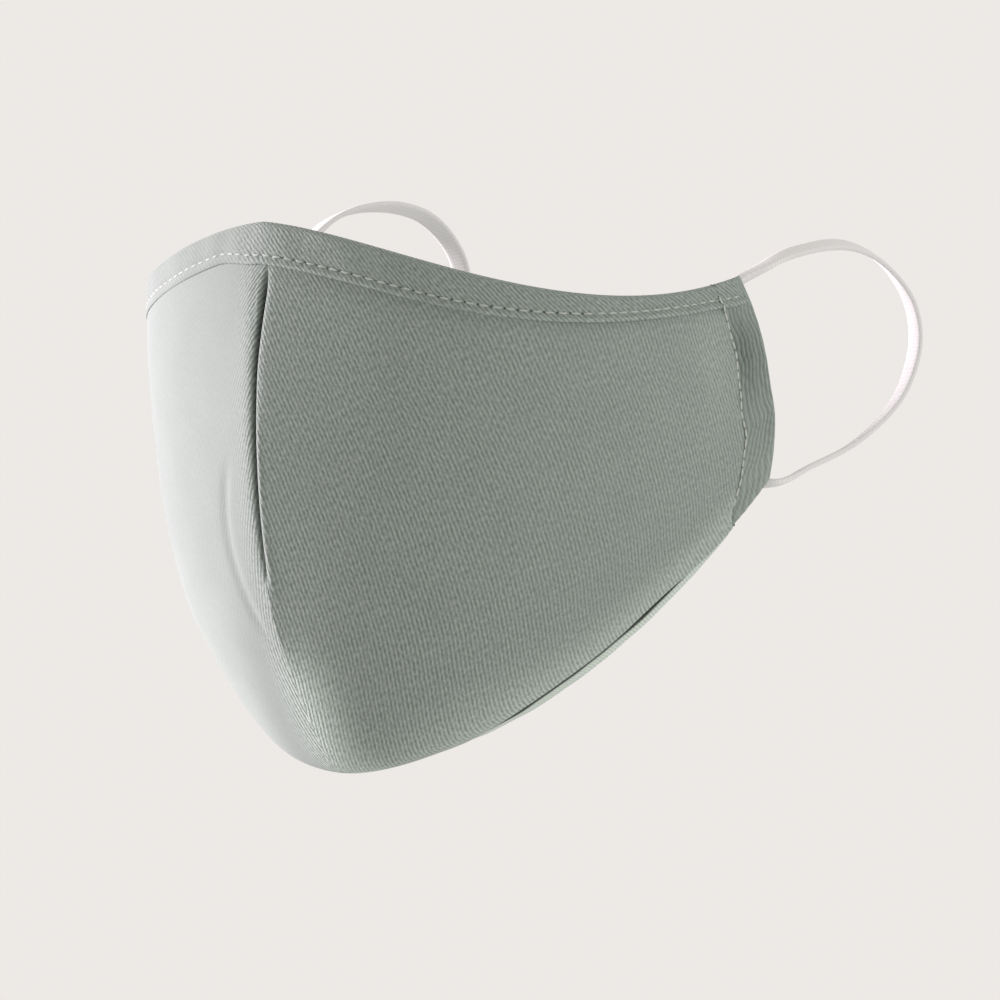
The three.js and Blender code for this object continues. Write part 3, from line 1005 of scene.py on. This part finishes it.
# Stitches: each is one small spindle of thread, with a dark spindle of painted shade in the needle hole
# between two

stitchLooks = {
    "binding": {
        "pitch": bindingLook["pitch"], "length": 2.2, "width": 0.55, "height": 0.34, "sunk": 0.1,
        "hole": 0.95, "holes": (0.51, 0.8),  # the shares of the row between which needle holes show
    },
    "casing": {
        "pitch": 2.5, "length": 2.3, "width": 0.8, "height": 0.42, "sunk": 0.1,
        "hole": 0.3, "holes": (0.03, 0.97), "ends": (0.05, 0.925), "wander": 0.25,
    },
}


def stitchRow(name, places, outwards, look):
    run = np.concatenate([[0], np.cumsum(np.linalg.norm(np.diff(places, axis=0), axis=1))])
    rng = np.random.default_rng(len(name))
    thread, holes = bmesh.new(), bmesh.new()

    def at(distance):
        place = np.array([np.interp(distance, run, places[:, i]) for i in range(3)])
        out = np.array([np.interp(distance, run, outwards[:, i]) for i in range(3)])
        return Vector(place), Vector(out).normalized()

    def addSpindle(mesh, place, axes, rings):
        matrix = Matrix.Translation(place / 1000) @ (Matrix(axes).transposed() * 0.001).to_4x4()
        bmesh.ops.create_uvsphere(mesh, u_segments=8, v_segments=rings, radius=1, matrix=matrix)

    for k in range(int(run[-1] / look["pitch"])):
        middle = (k + 0.5) * look["pitch"] + rng.uniform(-0.12, 0.12)
        place, out = at(middle)
        reach = look["length"] / 2 * rng.uniform(0.9, 1.08)
        along = (at(middle + reach)[0] - at(middle - reach)[0]).normalized()
        wide = out.cross(along).normalized()
        along = (along + wide * rng.uniform(-0.05, 0.05)).normalized()
        axes = (wide * look["width"] / 2, out * look["height"] / 2, along * reach)
        addSpindle(thread, place + out * (look["height"] / 2 - look["sunk"]), axes, 6)
        low, high = look["holes"]
        if low <= middle / run[-1] <= high:
            # a dark spindle of painted shade in the needle hole after it
            place, out = at((k + 1) * look["pitch"])
            axes = (wide * look["hole"] / 2, out * 0.05, along * look["hole"] / 2)
            addSpindle(holes, place + out * 0.02, axes, 4)
    made = []
    for mesh, suffix, material in ((thread, "Thread", paleThread), (holes, "PaintedHoleShade", holeShade)):
        for face in mesh.faces:
            face.smooth = True
        piece = finished(name + suffix, mesh)
        piece.data.materials.append(material)
        made.append(piece)
    return made


sides = np.linspace(-0.985, 0.985, 900)
seamDown = belowTop(bindingLeg(sides) - bindingLook["seamUp"], sides)
seamOut = bindingProud(sides) + bindingRelief(sides, bindingLook["seamUp"]) - 0.12 * (1 - nearHalf(sides))
seamPlaces = clothAt(sides, seamDown, seamOut)
bindingStitches = stitchRow("bindingSeam", seamPlaces, outwardAt(sides, seamDown), stitchLooks["binding"])
casingSeam = stitchLooks["casing"]
for sideName, hand in (("Left", 1), ("Right", -1)):
    downs = np.linspace(*casingSeam["ends"], 380)
    seamIn = casingWidth(downs) - 0.1 + casingSeam["wander"] * np.sin(downs * 38)
    seamSide = hand * fromEar(seamIn, downs)
    overStrip = downs < belowTop(bindingLeg(seamSide), seamSide)
    seamPlaces = clothAt(seamSide, downs, np.where(overStrip, bindingProud(seamSide) - 0.05, -0.12))
    outwards = outwardAt(seamSide, downs)
    stitchRow("casingSeam" + sideName, seamPlaces, outwards, casingSeam)
print("stage: stitches made")
# Stage: a plain pale floor under the same plain pale surroundings, and a soft light from the left

studioLook = {
    "tone": "#ede9e6",
    "floorBelow": 165,
    "floorReach": 1500,
    "key": {"from": (-0.95, -0.31, 0.1), "metres": 2.0, "size": 0.6, "watts": 105, "tint": "#fff0fb"},
    "fill": {"from": (0.95, 0.3, -0.1), "metres": 2.0, "size": 1.4, "watts": 23, "tint": "#ffffff"},
    "below": {"from": (0.25, -0.5, -0.8), "metres": 1.6, "size": 1.0, "watts": 26, "tint": "#ffffff"},
}

mesh = bmesh.new()
bmesh.ops.create_grid(mesh, x_segments=1, y_segments=1, size=studioLook["floorReach"] / 1000)
bmesh.ops.translate(mesh, verts=mesh.verts, vec=(0, 0, -studioLook["floorBelow"] / 1000))
floorData = bpy.data.meshes.new("paleFloor")
mesh.to_mesh(floorData)
mesh.free()
floor = bpy.data.objects.new("paleFloor", floorData)
bpy.context.scene.collection.objects.link(floor)
paper = newMaterial("litStudioPaper")  # even white paper, lit so evenly that it shows no shade
glow = addNode(paper, "ShaderNodeEmission", None, {"Color": colour(studioLook["tone"]), "Strength": 1})
addNode(paper, "ShaderNodeOutputMaterial", None, {"Surface": glow.outputs[0]})
floorData.materials.append(paper)

world = bpy.data.worlds.new("studio")
world.use_nodes = True
background = world.node_tree.nodes["Background"]
background.inputs["Color"].default_value = colour(studioLook["tone"])
background.inputs["Strength"].default_value = 1
bpy.context.scene.world = world
bpy.context.scene.view_settings.view_transform = "Standard"


def softLight(name, look):
    lamp = bpy.data.lights.new(name, "AREA")
    lamp.energy = look["watts"]
    lamp.size = look["size"]
    lamp.color = colour(look["tint"])[:3]
    holder = bpy.data.objects.new(name, lamp)
    bpy.context.scene.collection.objects.link(holder)
    direction = Vector(look["from"]).normalized()
    holder.location = headMiddle + direction * look["metres"]
    holder.rotation_euler = direction.to_track_quat("Z", "Y").to_euler()


for lightName in ("key", "fill", "below"):
    softLight(lightName, studioLook[lightName])
print("stage: floor and lights made")
